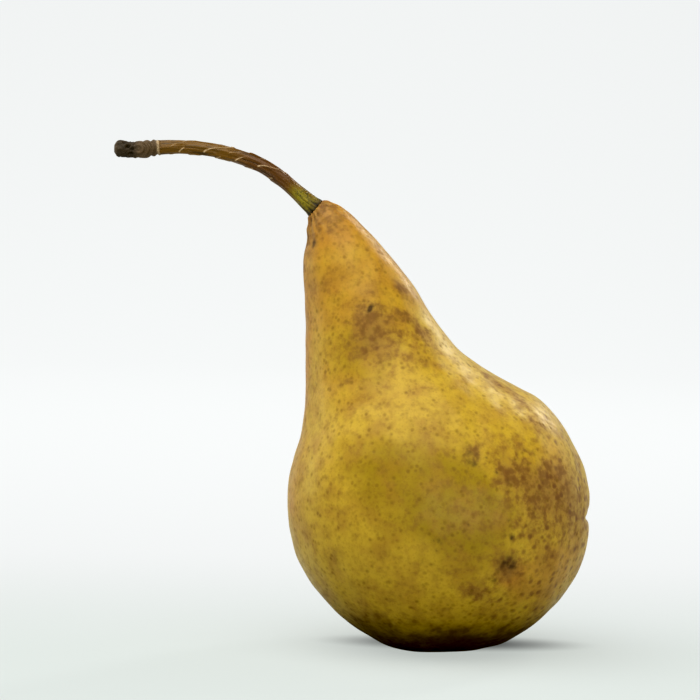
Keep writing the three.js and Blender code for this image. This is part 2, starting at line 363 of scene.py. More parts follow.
class Shader:
    """A material's node tree with short ways to add to it."""

    def __init__(self, name: str) -> None:
        """Start an empty material with an output and a Principled shader."""
        self.material = bpy.data.materials.new(name)
        self.material.use_nodes = True
        self.tree = self.material.node_tree
        self.tree.nodes.clear()
        self.output = self.tree.nodes.new("ShaderNodeOutputMaterial")
        self.surface = self.tree.nodes.new("ShaderNodeBsdfPrincipled")
        self.tree.links.new(self.surface.outputs["BSDF"], self.output.inputs["Surface"])

    def feed(self, socket: bpy.types.NodeSocket, value: Value) -> None:
        """Link a signal to a socket, or set a plain value on it. A plain colour gets an alpha of 1."""
        if isinstance(value, Signal):
            self.tree.links.new(value.socket, socket)
        else:
            socket.default_value = (*value, 1.0) if socket.type == "RGBA" else value

    def node(
        self, kind: str, settings: dict | None = None, inputs: dict | None = None, out: int | str = 0
    ) -> Signal:
        """Add a node of any kind.

        Args:
            kind: The node's type.
            settings: Properties to set first.
            inputs: Values or signals, by socket name or number.
            out: Which output to return.

        Returns:
            The chosen output as a signal.
        """
        made = self.tree.nodes.new(kind)
        for key, value in (settings or {}).items():
            setattr(made, key, value)
        for key, value in (inputs or {}).items():
            self.feed(made.inputs[key], value)
        return Signal(self, made.outputs[out])

    def coords(self) -> Signal:
        """Object coordinates, in metres."""
        return self.node("ShaderNodeTexCoord", out="Object")

    def attribute(self, name: str, vector: bool = False) -> Signal:
        """A named point attribute, as a number or as a vector."""
        return self.node("ShaderNodeAttribute", {"attribute_name": name}, out="Vector" if vector else "Fac")

    def noise(self, where: Signal, size: float, detail: float = 3.0, rough: float = 0.5) -> Signal:
        """Noise about 0.5 whose lumps are about size metres across."""
        inputs = {"Vector": where, "Scale": 1 / size, "Detail": detail, "Roughness": rough}
        return self.node("ShaderNodeTexNoise", {"noise_dimensions": "3D"}, inputs, "Fac")

    def cells(self, where: Signal, size: float) -> Signal:
        """Distance from the nearest of scattered points about size metres apart, in that size."""
        inputs = {"Vector": where, "Scale": 1 / size, "Randomness": 1.0}
        return self.node("ShaderNodeTexVoronoi", {"feature": "F1"}, inputs, "Distance")

    def distance(self, where: Signal, place: tuple[float, float, float]) -> Signal:
        """How far a position is from a place."""
        return self.node("ShaderNodeVectorMath", {"operation": "DISTANCE"}, {0: where, 1: place}, "Value")

    def blend(self, share: Value, base: Value, other: Value) -> Signal:
        """Base colour where share is 0, the other where it is 1."""
        settings = {"data_type": "RGBA", "clamp_factor": True}
        return self.node("ShaderNodeMix", settings, {0: share, 6: base, 7: other}, 2)

    def bump(self, height: Signal, depth: float) -> Signal:
        """A normal bent by a height of 0 to 1 that stands depth metres tall."""
        inputs = {"Height": height, "Distance": depth, "Strength": 1.0}
        return self.node("ShaderNodeBump", None, inputs, "Normal")

    def dress(self, piece: bpy.types.Object, **sockets: Value) -> None:
        """Feed the Principled shader's sockets and give the material to a piece.

        Args:
            piece: The object to dress.
            sockets: Values by socket name, with underscores for spaces.
        """
        for key, value in sockets.items():
            self.feed(self.surface.inputs[key.replace("_", " ")], value)
        piece.data.materials.append(self.material)


class Blemish(Enum):
    """What a mark on the skin is: the name of the field that it adds to."""

    RUSSET = "russet"
    BRUISE = "bruise"
    AMBER = "amber"
    GREEN = "green"


class Measure(Enum):
    """What a cast goes by."""

    SEAT = "millimetres from the stem's seat"
    BASIN = "millimetres from the blossom basin"
    HEIGHT = "millimetres above the floor"
    FURROW = "share of the furrows' full depth"
    CREASE = "share of the crease's full depth"


@dataclass(frozen=True)
class Cast:
    """A wide cast of the skin, which eases in as a measure goes from one value to another.

    Attributes:
        kind: What it is.
        measure: What it goes by.
        start: The measure's value where it starts.
        full: The measure's value where it is full.
        strength: How strong it is where it is full.
    """

    kind: Blemish
    measure: Measure
    start: float
    full: float
    strength: float

    def spread(self, value: np.ndarray) -> np.ndarray:
        """How strong the cast is at each value of its measure."""
        return self.strength * smoothstep(self.start, self.full, value)


@dataclass(frozen=True)
class Mark:
    """A mark on the side of the fruit that shows best.

    Attributes:
        kind: What it is.
        at: X and Z of its middle, in millimetres.
        radius: Its half width, in millimetres.
        strength: How strong it is in its middle, up to 1.
        stretch: How many times longer than wide it is.
        lean: The way it runs, in degrees up from +X.
    """

    kind: Blemish
    at: tuple[float, float]
    radius: float
    strength: float = 1.0
    stretch: float = 1.0
    lean: float = 0.0

    def spread(self, points: np.ndarray, normals: np.ndarray) -> np.ndarray:
        """How strong the mark is at each point: a bell curve of the distance from its middle.

        Args:
            points: Points of the skin, shaped (..., 3).
            normals: Their normals.

        Returns:
            The strength, shaped as points without the last axis.
        """
        x, z = self.at
        # The far side is put out of reach, so that the middle lies on the side that shows
        off = np.hypot(points[..., 0] - x, points[..., 2] - z) + 1e3 * (normals[..., 1] > 0)
        middle = points.reshape(-1, 3)[np.argmin(off)]
        lean = math.radians(self.lean)
        away = points - middle
        along = (away[..., 0] * math.cos(lean) + away[..., 2] * math.sin(lean)) / self.stretch
        over = away[..., 2] * math.cos(lean) - away[..., 0] * math.sin(lean)
        square = along**2 + over**2 + away[..., 1] ** 2 * 0.6
        return self.strength * np.exp(-square / self.radius**2)


@dataclass(frozen=True)
class SkinFinish:
    """Colours and gloss of the fruit's skin.

    Attributes:
        gold: The ground colour.
        green: The cast of the less ripe parts, dark enough to also paint shade across the middle of the
            belly.
        orange: The cast of the neck's top and of the flanks.
        tan: The drifts of duller skin.
        brown: Freckles and the cores of russet patches.
        russet: Russet patches.
        dark: Bruises, the darkest spots, and painted shade in the furrows, the crease and the folds round
            the stem.
        dot: The fine dots.
        stain_and_shade_colour: Painted shade under the fruit round the flat spot, partly a brown stain of
            the skin.
        roughness: Of the clean skin.
        cloud_size: The widest patches of the noise, in metres, as all sizes here.
        drift_size: Patches within the clouds.
        mottle_size: Mottling within the drifts.
        grain_size: The finest noise.
        bold_size: Patches where the dots show more.
        dot_spacing: From dot to dot.
        fine_spacing: From one of the finest dots to the next.
        blot_spacing: From one freckle to the next.
        clot_spacing: From one dark core of a bruise to the next.
        relief: The height of the skin's finest relief.
    """

    gold: Colour = (0.455, 0.310, 0.032)
    # Partly painted shade: dark enough to shade the middle of the belly
    green: Colour = (0.262, 0.178, 0.005)
    orange: Colour = (0.43, 0.215, 0.034)
    tan: Colour = (0.33, 0.188, 0.026)
    brown: Colour = (0.175, 0.080, 0.014)
    russet: Colour = (0.26, 0.142, 0.031)
    dark: Colour = (0.050, 0.024, 0.006)
    dot: Colour = (0.17, 0.092, 0.006)
    stain_and_shade_colour: Colour = (0.060, 0.030, 0.007)
    roughness: float = 0.41
    cloud_size: float = 0.013
    drift_size: float = 0.0062
    mottle_size: float = 0.0022
    grain_size: float = 0.0008
    bold_size: float = 0.004
    dot_spacing: float = 0.0018
    fine_spacing: float = 0.0010
    blot_spacing: float = 0.0024
    clot_spacing: float = 0.0014
    relief: float = 0.00006

    def dress(self, piece: bpy.types.Object) -> None:
        """Build the skin's material and give it to the fruit.

        The ground runs from gold to green and orange by the fruit's fields, with clouds and mottling.
        Dots are cut from scattered points in space that lie near the skin. Russet, bruises with painted
        shade in the furrows, crease and folds, and painted shade with a brown stain round the flat spot are
        the fields, broken up by noise.

        Args:
            piece: The fruit.
        """
        shader = Shader("pear_skin")
        where = shader.coords()
        clouds = shader.noise(where, self.cloud_size, 3.0, 0.5)
        drifts = shader.noise(where, self.drift_size, 3.0, 0.55)
        mottle = shader.noise(where, self.mottle_size, 3.0, 0.6)
        grain = shader.noise(where, self.grain_size, 3.0, 0.6)
        green = (shader.attribute("green") + (clouds - 0.5) * 1.0 + (drifts - 0.5) * 0.5).ease(0.1, 0.9)
        amber = (shader.attribute("amber") + (0.5 - clouds) * 0.9 + (drifts - 0.5) * 0.6).ease(0.1, 1.0)
        ground = shader.blend(green * 0.8, self.gold, self.green)
        ground = shader.blend(amber * 0.9, ground, self.orange)
        ground = shader.blend(drifts.ease(0.42, 0.72) * 0.60, ground, self.tan)
        ground = shader.blend(mottle.ease(0.42, 0.75) * 0.30, ground, self.brown)
        ground = shader.blend(grain.ease(0.45, 0.75) * 0.22, ground, self.dot)

        freckle = shader.attribute("freckle")
        russet = (shader.attribute("russet") + (mottle - 0.5) * 1.2 + (drifts - 0.5) * 0.6).ease(0.05, 1.2)
        ground = shader.blend(russet * 0.75, ground, self.russet)
        ground = shader.blend(russet * mottle.ease(0.40, 0.66) * 0.70, ground, self.brown)

        bold = shader.noise(where, self.bold_size, 1.0).ease(0.25, 0.65) * 0.6 + 0.4
        dots = (shader.cells(where, self.dot_spacing) + (grain - 0.5) * 0.15).ease(0.38, 0.08) * bold
        fine = shader.cells(where, self.fine_spacing).ease(0.36, 0.10)
        blots = (shader.cells(where, self.blot_spacing) + (grain - 0.5) * 0.3).ease(0.42, 0.10)
        blots = blots * (freckle + russet * 0.8)
        ground = shader.blend(dots * 0.52, ground, self.dot)
        ground = shader.blend(fine * 0.20, ground, self.dot)
        ground = shader.blend(blots * 0.72, ground, self.brown)

        # Bruises, with painted shade in the furrows, the crease and the folds round the stem's foot
        clots = 1.25 - shader.cells(where, self.clot_spacing) * 0.8
        bruise = (shader.attribute("bruise") * clots * (0.5 + mottle)).ease(0.08, 1.0)
        ground = shader.blend(bruise * 0.85, ground, self.dark)
        # Painted shade towards the floor round the flat spot, partly a brown stain of the skin
        stain_and_shade = (shader.attribute("stain_and_shade") + (drifts - 0.5) * 0.8 + (mottle - 0.5) * 0.3).ease(0.08, 1.0)
        ground = shader.blend(stain_and_shade * 0.87, ground, self.stain_and_shade_colour)

        height = grain * 0.35 + mottle * 0.35 + (1 - dots) * 0.3
        sheen = (mottle - 0.5) * 0.25 + russet * 0.16 + bruise * 0.12 + dots * 0.1
        sheen = sheen + stain_and_shade * 0.4 + self.roughness
        shader.dress(
            piece,
            Base_Color=ground,
            Roughness=sheen,
            Normal=shader.bump(height, self.relief),
            Subsurface_Weight=0.12,
            Subsurface_Radius=(0.004, 0.0018, 0.0003),
            Subsurface_Scale=1.0,
            Specular_IOR_Level=0.33,
        )


@dataclass
class Fruit:
    """The fruit: one skin from the blossom basin round the belly and up the neck to the stem's seat.

    Sizes are in millimetres. The rings, the basin and the seat are those of the solid, and the finer
    relief stands on them. A growth ring is the X and Z of its point on the outer side of the bend, the
    same on the inner side, and its half width along Y. The basin's and the seat's sections are pairs
    of a place along their axis and a radius.
    """

    growth_rings: tuple[tuple[float, ...], ...] = (
        (30.6, 18.5, 31.0, 44.1, 12.7),
        (27.4, 12.1, 29.2, 48.4, 17.8),
        (21.2, 6.2, 25.9, 53.2, 23.2),
        (12.5, 0.9, 23.5, 56.4, 27.6),
        (1.2, -1.1, 20.3, 59.1, 30.8),
        (-9.8, -0.7, 16.7, 60.9, 32.8),
        (-20.6, 4.4, 13.1, 62.6, 33.3),
        (-29.2, 12.0, 9.6, 64.5, 32.5),
        (-34.6, 20.4, 6.3, 66.5, 30.5),
        (-37.0, 30.9, 3.6, 68.3, 27.6),
        (-36.6, 40.5, 1.0, 70.6, 24.1),
        (-34.4, 48.5, -1.7, 73.9, 20.8),
        (-33.5, 58.3, -5.1, 78.3, 17.3),
        (-33.6, 67.7, -8.6, 84.0, 14.7),
        (-33.9, 76.4, -12.7, 89.2, 12.2),
        (-34.3, 83.7, -17.0, 93.9, 10.0),
        (-34.6, 89.1, -20.9, 97.9, 8.0),
        (-34.2, 93.8, -24.6, 101.2, 6.2),
        (-34.0, 97.2, -27.6, 103.1, 4.5),
        (-33.9, 99.2, -29.3, 103.7, 3.2),
    )
    basin_height: float = 32.2
    basin_section: tuple[tuple[float, float], ...] = (
        (25.9, 0.0),
        (26.0, 2.7),
        (27.0, 5.3),
        (29.4, 7.1),
        (31.4, 8.6),
    )
    # The blossom end is turned from +X towards +Y, and its furrows run out from the basin's rim
    blossom_turn: float = math.radians(20)
    turn_start_x: float = 3.0
    turn_full_x: float = 25.0
    furrow_count: int = 5
    furrow_depth: float = 1.9
    furrow_front_share: float = 0.72
    furrow_half_angle: float = 0.135
    furrow_reach: float = 10.0
    crease_depth: float = 1.9
    crease_above: float = 0.022
    crease_below: float = 0.065
    crease_reach: float = 8.0
    furrow_start_radius: float = 3.0
    furrow_full_radius: float = 8.0
    front_crowding: float = 0.36
    # The seat of the stem, in the top of the neck
    seat_middle: tuple[float, float, float] = (-31.8, 0.0, 101.6)
    seat_axis: tuple[float, float, float] = (-0.757, 0.0, 0.653)
    seat_section: tuple[tuple[float, float], ...] = (
        (0.2, 2.3),
        (0.0, 1.8),
        (-0.7, 1.7),
        (-2.2, 1.6),
        (-2.4, 0.8),
        (-2.4, 0.0),
    )
    # The relief of the skin, and how far the flesh is pressed flat below
    swell_height: float = 0.15
    swell_length: float = 9.0
    swell_phase: float = 0.8
    dent_middle: tuple[float, float, float] = (-34.6, -1.0, 94.4)
    dent_depth: float = 1.15
    dent_radius: float = 1.6
    rest_softness: float = 0.4
    ripple_height: float = 0.07
    ripple_length: float = 7.0
    ripple_waves: int = 9
    ripple_seed: int = 3
    pleat_count: int = 15
    pleat_depth: float = 0.34
    pleat_reach: float = 6.5
    collar_height: float = 0.16
    collar_radius: float = 2.5
    collar_width: float = 0.6
    rim_drop: float = 0.42
    rim_radius: float = 3.8
    rim_width: float = 1.1
    # The grid, and the share of its rows, from the blossom end, that are eased along their length
    sides: int = 248
    row_count: int = 372
    eased_share: float = 0.9
    easing_passes: int = 6
    # What shows on the skin
    marks: tuple[Mark, ...] = (
        Mark(Blemish.BRUISE, (4.0, 47.7), 2.4, 0.62, 1.2, 110),
        Mark(Blemish.RUSSET, (4.3, 48.6), 2.8, 0.75),
        Mark(Blemish.BRUISE, (5.3, 46.0), 0.9, 0.5),
        Mark(Blemish.BRUISE, (7.6, 47.3), 0.6, 0.6),
        Mark(Blemish.RUSSET, (12.5, 43.6), 3.6, 0.95, 1.2, 100),
        Mark(Blemish.BRUISE, (12.4, 41.2), 1.9, 0.45),
        Mark(Blemish.BRUISE, (9.8, 44.0), 0.8, 0.55),
        Mark(Blemish.RUSSET, (13.4, 49.0), 4.6, 0.3),
        Mark(Blemish.RUSSET, (21.5, 38.0), 9.5, 0.45, 1.2, 100),
        Mark(Blemish.RUSSET, (29.5, 38.0), 6.5, 0.65, 1.3, 90),
        Mark(Blemish.RUSSET, (30.0, 30.0), 5.0, 0.45),
        Mark(Blemish.RUSSET, (19.5, 41.5), 4.5, 0.70),
        Mark(Blemish.RUSSET, (24.5, 40.0), 5.0, 0.80, 1.3, 80),
        Mark(Blemish.RUSSET, (24.0, 31.0), 6.0, 0.80, 1.2, 90),
        Mark(Blemish.AMBER, (24.0, 33.0), 9.0, 0.8),
        Mark(Blemish.RUSSET, (18.0, 33.0), 4.0, 0.4),
        Mark(Blemish.BRUISE, (13.1, 23.9), 2.8, 0.72),
        Mark(Blemish.RUSSET, (13.3, 23.6), 3.4, 0.8),
        Mark(Blemish.BRUISE, (14.3, 22.9), 1.0, 0.5),
        Mark(Blemish.AMBER, (14.2, 21.0), 3.4, 0.8),
        Mark(Blemish.RUSSET, (12.6, 21.4), 2.4, 0.6),
        Mark(Blemish.BRUISE, (13.7, 30.1), 0.75, 0.95, 1.3, 80),
        Mark(Blemish.BRUISE, (13.0, 33.6), 0.8, 0.45),
        Mark(Blemish.BRUISE, (9.6, 19.5), 0.9, 0.75),
        Mark(Blemish.RUSSET, (6.3, 17.4), 2.6, 0.8),
        Mark(Blemish.BRUISE, (5.4, 16.2), 1.0, 0.55),
        Mark(Blemish.RUSSET, (9.5, 15.0), 3.2, 0.6),
        Mark(Blemish.BRUISE, (-2.4, 29.0), 0.7, 0.8, 1.4, 110),
        Mark(Blemish.BRUISE, (-3.0, 27.0), 0.55, 0.65),
        Mark(Blemish.BRUISE, (-3.9, 29.2), 0.5, 0.55),
        Mark(Blemish.BRUISE, (-3.9, 23.6), 0.7, 0.5),
        Mark(Blemish.BRUISE, (-6.0, 23.7), 0.7, 0.4),
        Mark(Blemish.BRUISE, (2.8, 24.1), 0.8, 0.42),
        Mark(Blemish.BRUISE, (3.7, 33.1), 0.5, 0.6),
        Mark(Blemish.BRUISE, (-3.2, 15.4), 0.6, 0.5),
        Mark(Blemish.BRUISE, (-18.9, 79.7), 0.6, 1.3, 2.4, 55),
        Mark(Blemish.RUSSET, (-19.5, 77.5), 3.4, 0.6, 1.5, 80),
        Mark(Blemish.RUSSET, (-17.5, 73.0), 4.4, 0.75, 1.3, 60),
        Mark(Blemish.RUSSET, (-12.0, 72.5), 8.0, 0.32, 1.7, -35),
        Mark(Blemish.RUSSET, (-26.0, 66.0), 7.0, 0.20, 1.6, 85),
        Mark(Blemish.BRUISE, (-16.3, 71.2), 0.8, 0.4, 2.0, 25),
        Mark(Blemish.RUSSET, (-7.2, 74.8), 1.7, 0.95, 3.2, -38),
        Mark(Blemish.RUSSET, (-12.0, 84.0), 1.1, 0.8, 2.4, -20),
        Mark(Blemish.BRUISE, (-12.6, 84.1), 0.6, 0.4, 1.6, -20),
        Mark(Blemish.BRUISE, (-20.9, 86.5), 0.6, 0.42, 1.4, 0),
        Mark(Blemish.RUSSET, (-20.9, 86.5), 1.5, 0.4),
        Mark(Blemish.RUSSET, (-28.6, 97.0), 1.4, 0.45, 2.4, 20),
        Mark(Blemish.BRUISE, (-32.2, 93.9), 0.6, 1.3, 2.0, 80),
        Mark(Blemish.RUSSET, (9.5, 63.5), 2.2, 0.8, 2.0, -35),
        Mark(Blemish.RUSSET, (14.5, 60.0), 2.6, 0.9, 2.0, -38),
        Mark(Blemish.RUSSET, (19.0, 54.5), 2.6, 0.8, 2.0, -55),
        Mark(Blemish.BRUISE, (4.2, 66.6), 0.7, 0.8),
        Mark(Blemish.BRUISE, (-25.0, 11.6), 1.2, 0.7),
        Mark(Blemish.AMBER, (-34.5, 62.0), 3.5, 0.7, 6.0, 88),
        Mark(Blemish.AMBER, (-36.0, 36.0), 5.0, 0.6, 3.0, 85),
        Mark(Blemish.AMBER, (24.0, 21.0), 11.0, 0.75),
        Mark(Blemish.AMBER, (24.0, 44.0), 8.0, 0.55),
        # A green cast over the middle of the belly, partly painted shade there
        Mark(Blemish.GREEN, (-1.0, 37.0), 13.0, 1.2),
        Mark(Blemish.RUSSET, (1.0, 36.0), 10.0, 0.22, 1.4, 0),
        Mark(Blemish.GREEN, (5.0, 33.0), 8.0, 0.5),
        Mark(Blemish.GREEN, (-20.0, 68.0), 8.0, 0.75, 1.3, 80),
        Mark(Blemish.GREEN, (-16.0, 44.0), 9.0, 0.55),
        Mark(Blemish.GREEN, (26.0, 35.5), 2.2, 0.8),
    )
    casts: tuple[Cast, ...] = (
        Cast(Blemish.AMBER, Measure.SEAT, 62, 22, 0.62),
        Cast(Blemish.AMBER, Measure.SEAT, 22, 5, 0.20),
        Cast(Blemish.RUSSET, Measure.SEAT, 3.2, 2.2, 0.5),
        Cast(Blemish.BRUISE, Measure.SEAT, 2.9, 2.0, 0.9),
        Cast(Blemish.AMBER, Measure.BASIN, 24, 9, 0.35),
        Cast(Blemish.RUSSET, Measure.BASIN, 9, 4, 0.55),
        Cast(Blemish.BRUISE, Measure.BASIN, 6.5, 3.5, 0.5),
        # Browner towards the floor: painted shade under the fruit, partly russet
        Cast(Blemish.RUSSET, Measure.HEIGHT, 16, 4, 0.35),
        # Painted shade in the furrows, darkest in the crease
        Cast(Blemish.BRUISE, Measure.FURROW, 0.55, 1.0, 0.35),
        Cast(Blemish.BRUISE, Measure.CREASE, 0.25, 0.8, 1.3),
    )
    fold_shade: float = 1.1
    fold_reach: float = 5.0
    # Painted shade under the fruit, partly a brown stain: it starts at the first height and is full at the
    # second
    stain_and_shade_top: float = 15.0
    stain_and_shade_full: float = 1.5
    hidden_mark_count: int = 80
    hidden_mark_seed: int = 11
    hidden_mark_chances: tuple[float, ...] = (0.34, 0.46, 0.1, 0.1)
    hidden_bruise_radii: tuple[float, float] = (0.5, 1.4)
    hidden_patch_radii: tuple[float, float] = (2.5, 7.0)
    strongest: float = 1.2

    def section_ring(self, ring: tuple[float, ...], angle: np.ndarray) -> np.ndarray:
        """A ring of the flesh: middle + half chord * cos + half width along Y * sin, turned by its X.

        Args:
            ring: A growth ring, as the class says.
            angle: The way round it, from its inner side towards +Y.

        Returns:
            Points shaped (side, 3).
        """
        outer_x, outer_z, inner_x, inner_z, half_width = ring
        middle = np.array([(outer_x + inner_x) / 2, 0, (outer_z + inner_z) / 2])
        half = np.array([(inner_x - outer_x) / 2, 0, (inner_z - outer_z) / 2])
        across = np.array([0, half_width, 0])
        points = middle + np.outer(np.cos(angle), half) + np.outer(np.sin(angle), across)
        turn = self.blossom_turn * float(smoothstep(self.turn_start_x, self.turn_full_x, middle[0]))
        return turned(points, turn)

    def basin_ring(self, place: tuple[float, float], angle: np.ndarray) -> np.ndarray:
        """An upright ring of the basin, from its X and radius."""
        x, radius = place
        low, high = self.basin_height - radius, self.basin_height + radius
        return self.section_ring((x, low, x, high, radius), angle)

    def seat_ring(self, place: tuple[float, float], angle: np.ndarray) -> np.ndarray:
        """A ring of the stem's seat, square to the stem.

        Args:
            place: Its height along the seat's axis and its radius.
            angle: The way round it.

        Returns:
            Points shaped (side, 3).
        """
        height, radius = place
        axis = np.array(self.seat_axis)
        across = np.array([axis[2], 0, -axis[0]])
        middle = np.array(self.seat_middle) + axis * height
        deep = np.array([0.0, 1.0, 0.0])
        return middle + radius * (np.outer(np.cos(angle), across) + np.outer(np.sin(angle), deep))

    def furrows(self, points: np.ndarray) -> tuple[np.ndarray, np.ndarray]:
        """Depths of the broad furrows and of the one sharp crease, faded away from the basin's rim.

        Each is a bell curve of the angle off its middle. The crease is steeper on its upper side.

        Args:
            points: Points of the skin.

        Returns:
            The broad furrows' depth and the crease's depth at each point.
        """
        local = turned(points, -self.blossom_turn)
        height = local[..., 2] - self.basin_height
        radius = np.hypot(local[..., 1], height)
        crest_x, crest_radius = self.basin_section[-1]
        off_rim = np.hypot(local[..., 0] - crest_x, radius - crest_radius)
        angle = np.arctan2(height, -local[..., 1])
        pitch = TURN / self.furrow_count
        off = angle - pitch * np.round(angle / pitch)
        depth = self.furrow_depth * (1 - (1 - self.furrow_front_share) * (1 + np.cos(angle)) / 2)
        onset = smoothstep(self.furrow_start_radius, self.furrow_full_radius, radius)
        broad = depth * np.exp(-((off / self.furrow_half_angle) ** 2) - (off_rim / self.furrow_reach) ** 2)
        half_angle = np.where(angle > 0, self.crease_above, self.crease_below)
        sharp = np.exp(-((angle / half_angle) ** 2) - (off_rim / self.crease_reach) ** 2)
        return onset * broad, onset * self.crease_depth * sharp

    def pleats(self, points: np.ndarray) -> np.ndarray:
        """Depth of the folds that run out from the stem's foot and of the rounded rim, less the collar.

        The folds are a wave round the stem's axis that fades with distance. The collar is a low ring
        that hugs the stem, and the rim round it is eased down.

        Args:
            points: Points of the skin.

        Returns:
            The depth at each point.
        """
        away = points - np.array(self.seat_middle)
        axis = np.array(self.seat_axis)
        across = np.array([axis[2], 0, -axis[0]])
        angle = np.arctan2(away[..., 1], away @ across)
        distance = np.linalg.norm(away, axis=-1)
        wave = np.cos(self.pleat_count * angle + 1.3 * np.sin(3 * angle))
        wave = wave * (0.6 + 0.4 * np.sin(2 * angle + 1))
        fade = np.exp(-((distance / self.pleat_reach) ** 2)) * smoothstep(1.8, 3.0, distance)
        collar = np.exp(-(((distance - self.collar_radius) / self.collar_width) ** 2))
        rim = np.exp(-(((distance - self.rim_radius) / self.rim_width) ** 2))
        return self.pleat_depth * wave * fade + self.rim_drop * rim - self.collar_height * collar

    def relief(self, points: np.ndarray) -> np.ndarray:
        """How far the skin stands out: swells and ripples, less furrows, dent and pleats.

        The swell is sin y * (sin (x + phase) + sin z), each over the swell's length. The dent is a bell
        curve of the distance from its middle.

        Args:
            points: Points of the plain skin.

        Returns:
            The height over the plain skin at each point.
        """
        x, y, z = (points[..., axis] / self.swell_length for axis in range(3))
        swell = self.swell_height * np.sin(y) * (np.sin(x + self.swell_phase) + np.sin(z))
        dent_off = np.sum((points - np.array(self.dent_middle)) ** 2, -1)
        dent = self.dent_depth * np.exp(-dent_off / self.dent_radius**2)
        fine = self.ripple_height * ripples(points, self.ripple_length, self.ripple_waves, self.ripple_seed)
        return swell + fine - sum(self.furrows(points)) - dent - self.pleats(points)

    def pressed(self, height: np.ndarray) -> np.ndarray:
        """Heights once the flesh is pressed flat: a parabola joins the flat to the free skin."""
        soft = self.rest_softness
        eased = (height + soft) ** 2 / (4 * soft)
        return np.where(height > soft, height, np.where(height < -soft, 0, eased))

    def surface(self) -> np.ndarray:
        """The skin's points: a spline through the rings, moved by the relief and pressed flat below.

        The sides crowd together near -Y, where the crease runs out: angle = even - crowding * cos(even).

        Returns:
            Points shaped (row, side, 3), within the box of the solid.
        """
        even = TURN * np.arange(self.sides) / self.sides
        angle = even - self.front_crowding * np.cos(even)
        rings = np.array(
            [self.basin_ring(place, angle) for place in self.basin_section]
            + [self.section_ring(ring, angle) for ring in self.growth_rings]
            + [self.seat_ring(place, angle) for place in self.seat_section]
        )
        rows = spline_rows(rings, even_places(rings, self.row_count))[1:-1]
        flesh = int(len(rows) * self.eased_share)
        rows[:flesh] = smoothed(rows[:flesh], self.easing_passes)
        rows = rows + grid_normals(rows) * self.relief(rows)[..., None]
        rows[..., 2] = self.pressed(rows[..., 2])
        low, high = (np.array(corner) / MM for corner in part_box("fruit"))
        return np.clip(rows, low, high)

    def hidden_marks(self, rows: np.ndarray, normals: np.ndarray) -> dict[Blemish, np.ndarray]:
        """Seeded small marks on the far side, so that it is as lively as the side that shows.

        Args:
            rows: The finished points.
            normals: Their normals.

        Returns:
            A field of summed strengths for each kind of mark.
        """
        random = np.random.default_rng(self.hidden_mark_seed)
        far = rows[(normals[..., 1] > 0.1) & (rows[..., 2] > 4)]
        sums = {kind: np.zeros(rows.shape[:2]) for kind in Blemish}
        kinds = list(Blemish)
        for _ in range(self.hidden_mark_count):
            middle = far[random.integers(len(far))]
            kind = kinds[random.choice(len(kinds), p=self.hidden_mark_chances)]
            small = kind is Blemish.BRUISE
            radius = random.uniform(*(self.hidden_bruise_radii if small else self.hidden_patch_radii))
            square = np.sum((rows - middle) ** 2, -1)
            sums[kind] += random.uniform(0.5, 1.0) * np.exp(-square / radius**2)
        return sums

    def fields(self, rows: np.ndarray) -> dict[str, np.ndarray]:
        """What varies over the skin: its casts, its patches and how bold its dots are.

        Args:
            rows: The finished points.

        Returns:
            Fields named green, amber, russet, bruise, freckle and stain_and_shade.
        """
        normals = grid_normals(rows)
        sums = self.hidden_marks(rows, normals)
        for mark in self.marks:
            sums[mark.kind] += mark.spread(rows, normals)
        x, z = rows[..., 0], rows[..., 2]
        seat_off = np.linalg.norm(rows - np.array(self.seat_middle), axis=-1)
        crest_x = self.basin_section[-1][0]
        basin_middle = turned(np.array([crest_x, 0, self.basin_height]), self.blossom_turn)
        broad, crease = self.furrows(rows)
        measures = {
            Measure.SEAT: seat_off,
            Measure.BASIN: np.linalg.norm(rows - basin_middle, axis=-1),
            Measure.HEIGHT: z,
            Measure.FURROW: broad / self.furrow_depth,
            Measure.CREASE: crease / self.crease_depth,
        }
        for cast in self.casts:
            sums[cast.kind] += cast.spread(measures[cast.measure])
        # Painted shade in the folds round the stem's foot
        folds = np.exp(-((seat_off / self.fold_reach) ** 2)) * smoothstep(0.1, 0.6, self.pleats(rows))
        sums[Blemish.BRUISE] += self.fold_shade * folds
        freckle = 0.15 + 0.85 * smoothstep(6, 24, x - 0.25 * (z - 30)) * smoothstep(72, 50, z)
        made = {kind.value: np.clip(total, 0, self.strongest) for kind, total in sums.items()}
        # stain_and_shade is painted shade towards the floor, partly a brown stain
        return made | {"freckle": freckle, "stain_and_shade": smoothstep(self.stain_and_shade_top, self.stain_and_shade_full, z)}

    def build(self) -> bpy.types.Object:
        """Make the fruit, dress it and put it in the place of its solid."""
        rows = self.surface()
        piece = mesh_from_skins("pear_fruit", [Skin(rows, self.fields(rows))])
        SkinFinish().dress(piece)
        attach(piece, "root")
        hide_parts("fruit")
        return piece


